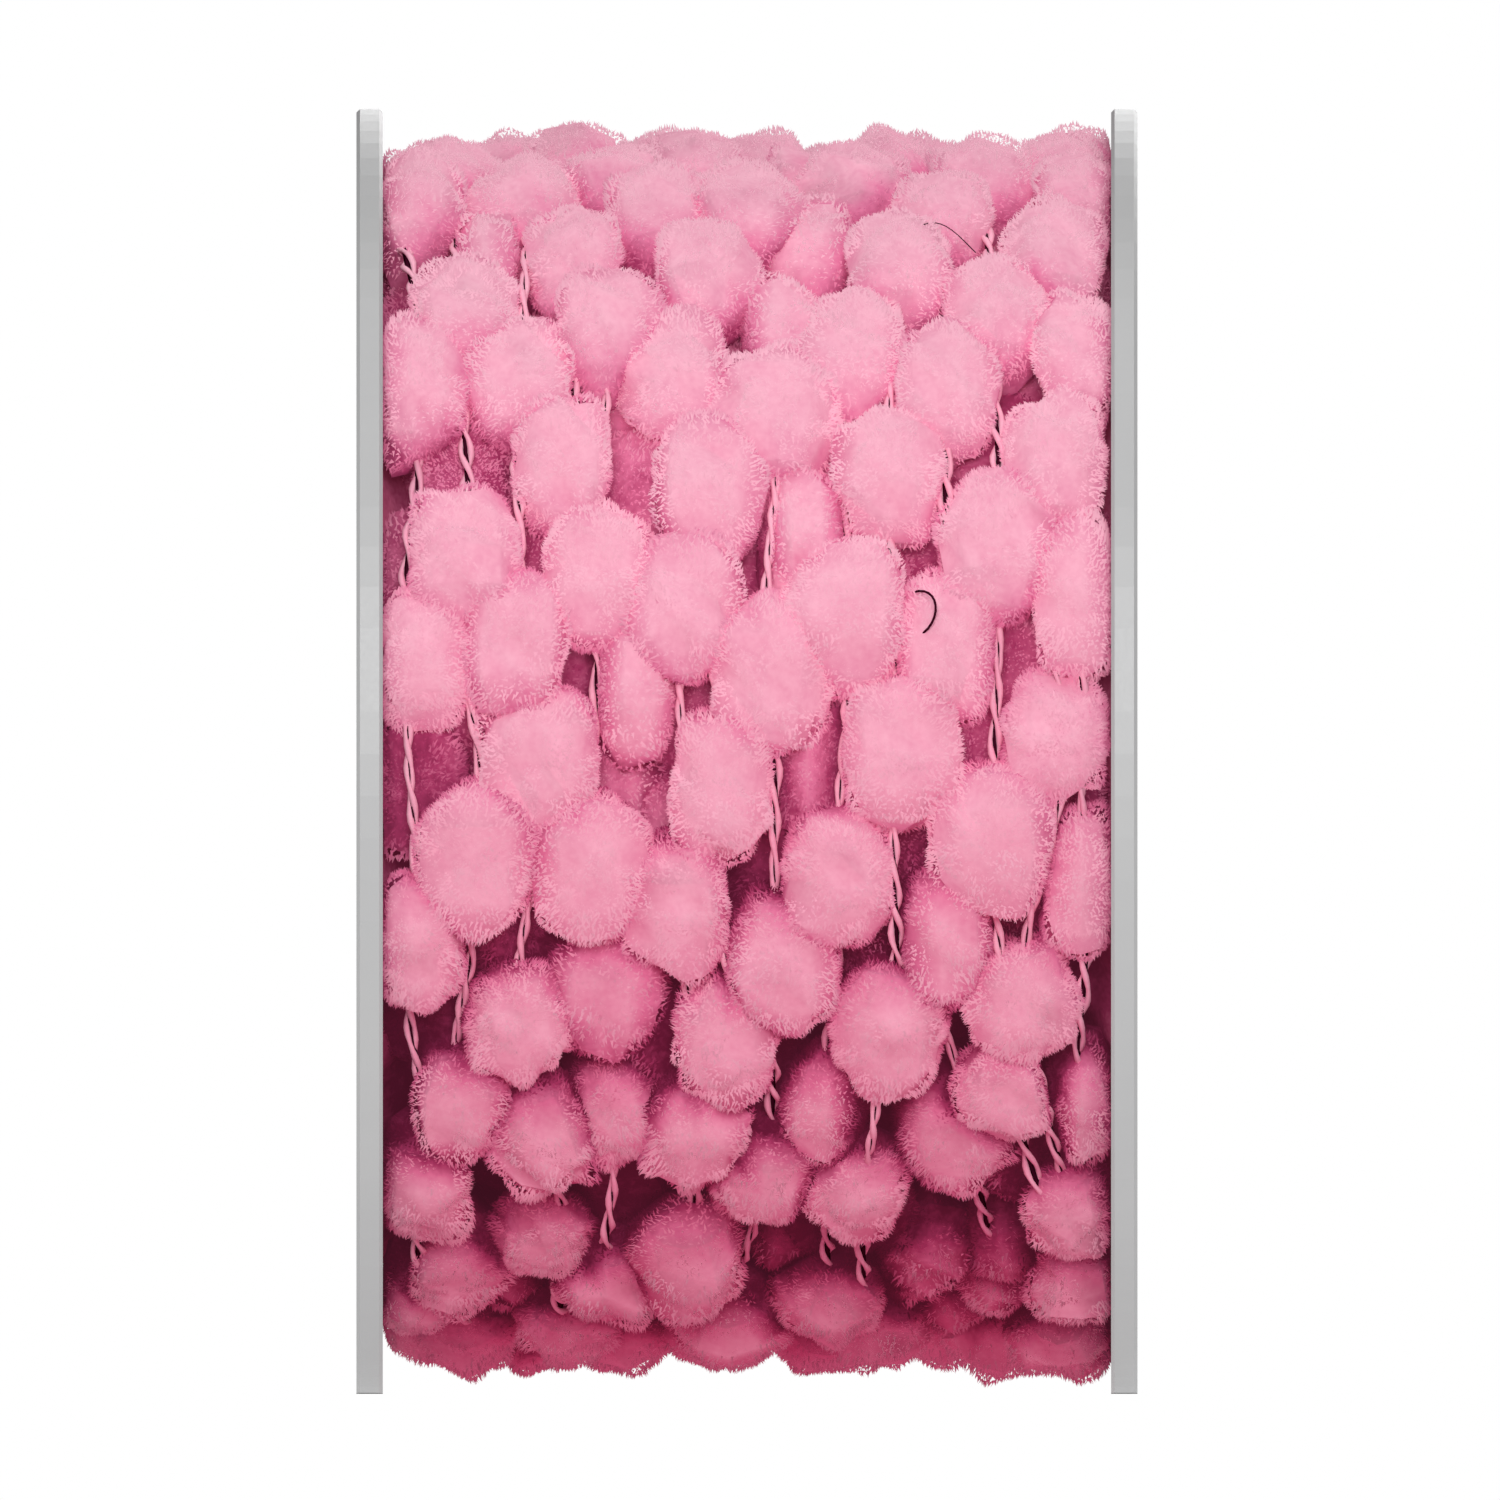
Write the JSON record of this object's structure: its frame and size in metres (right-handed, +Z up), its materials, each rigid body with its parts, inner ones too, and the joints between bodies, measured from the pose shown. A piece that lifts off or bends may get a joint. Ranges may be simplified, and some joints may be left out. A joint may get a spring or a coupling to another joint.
{
  "type": "pompom trim wound on a flanged reel",
  "caption": "Fluffy pompoms on a twisted thread, wound in layers on a barrel between round grey flanges; the reel stands on its rims and has a bore for a rod.",
  "frame": {"origin": "under the middle of the reel, on the surface that its two rims stand on", "axes": "+Z up, X along the reel's axis from the left flange to the right flange, -Y the front that faces the viewer"},
  "size_m": [0.0666, 0.11, 0.1096],
  "materials": {
    "reel_plastic": "moulded plastic, satin",
    "pompom_yarn": "fluffy cut pile in pink yarn"
  },
  "bodies": {
    "root": {"flange_left": "reel_plastic", "flange_right": "reel_plastic", "barrel": "reel_plastic", "winding": "pompom_yarn"}
  },
  "joints": []
}
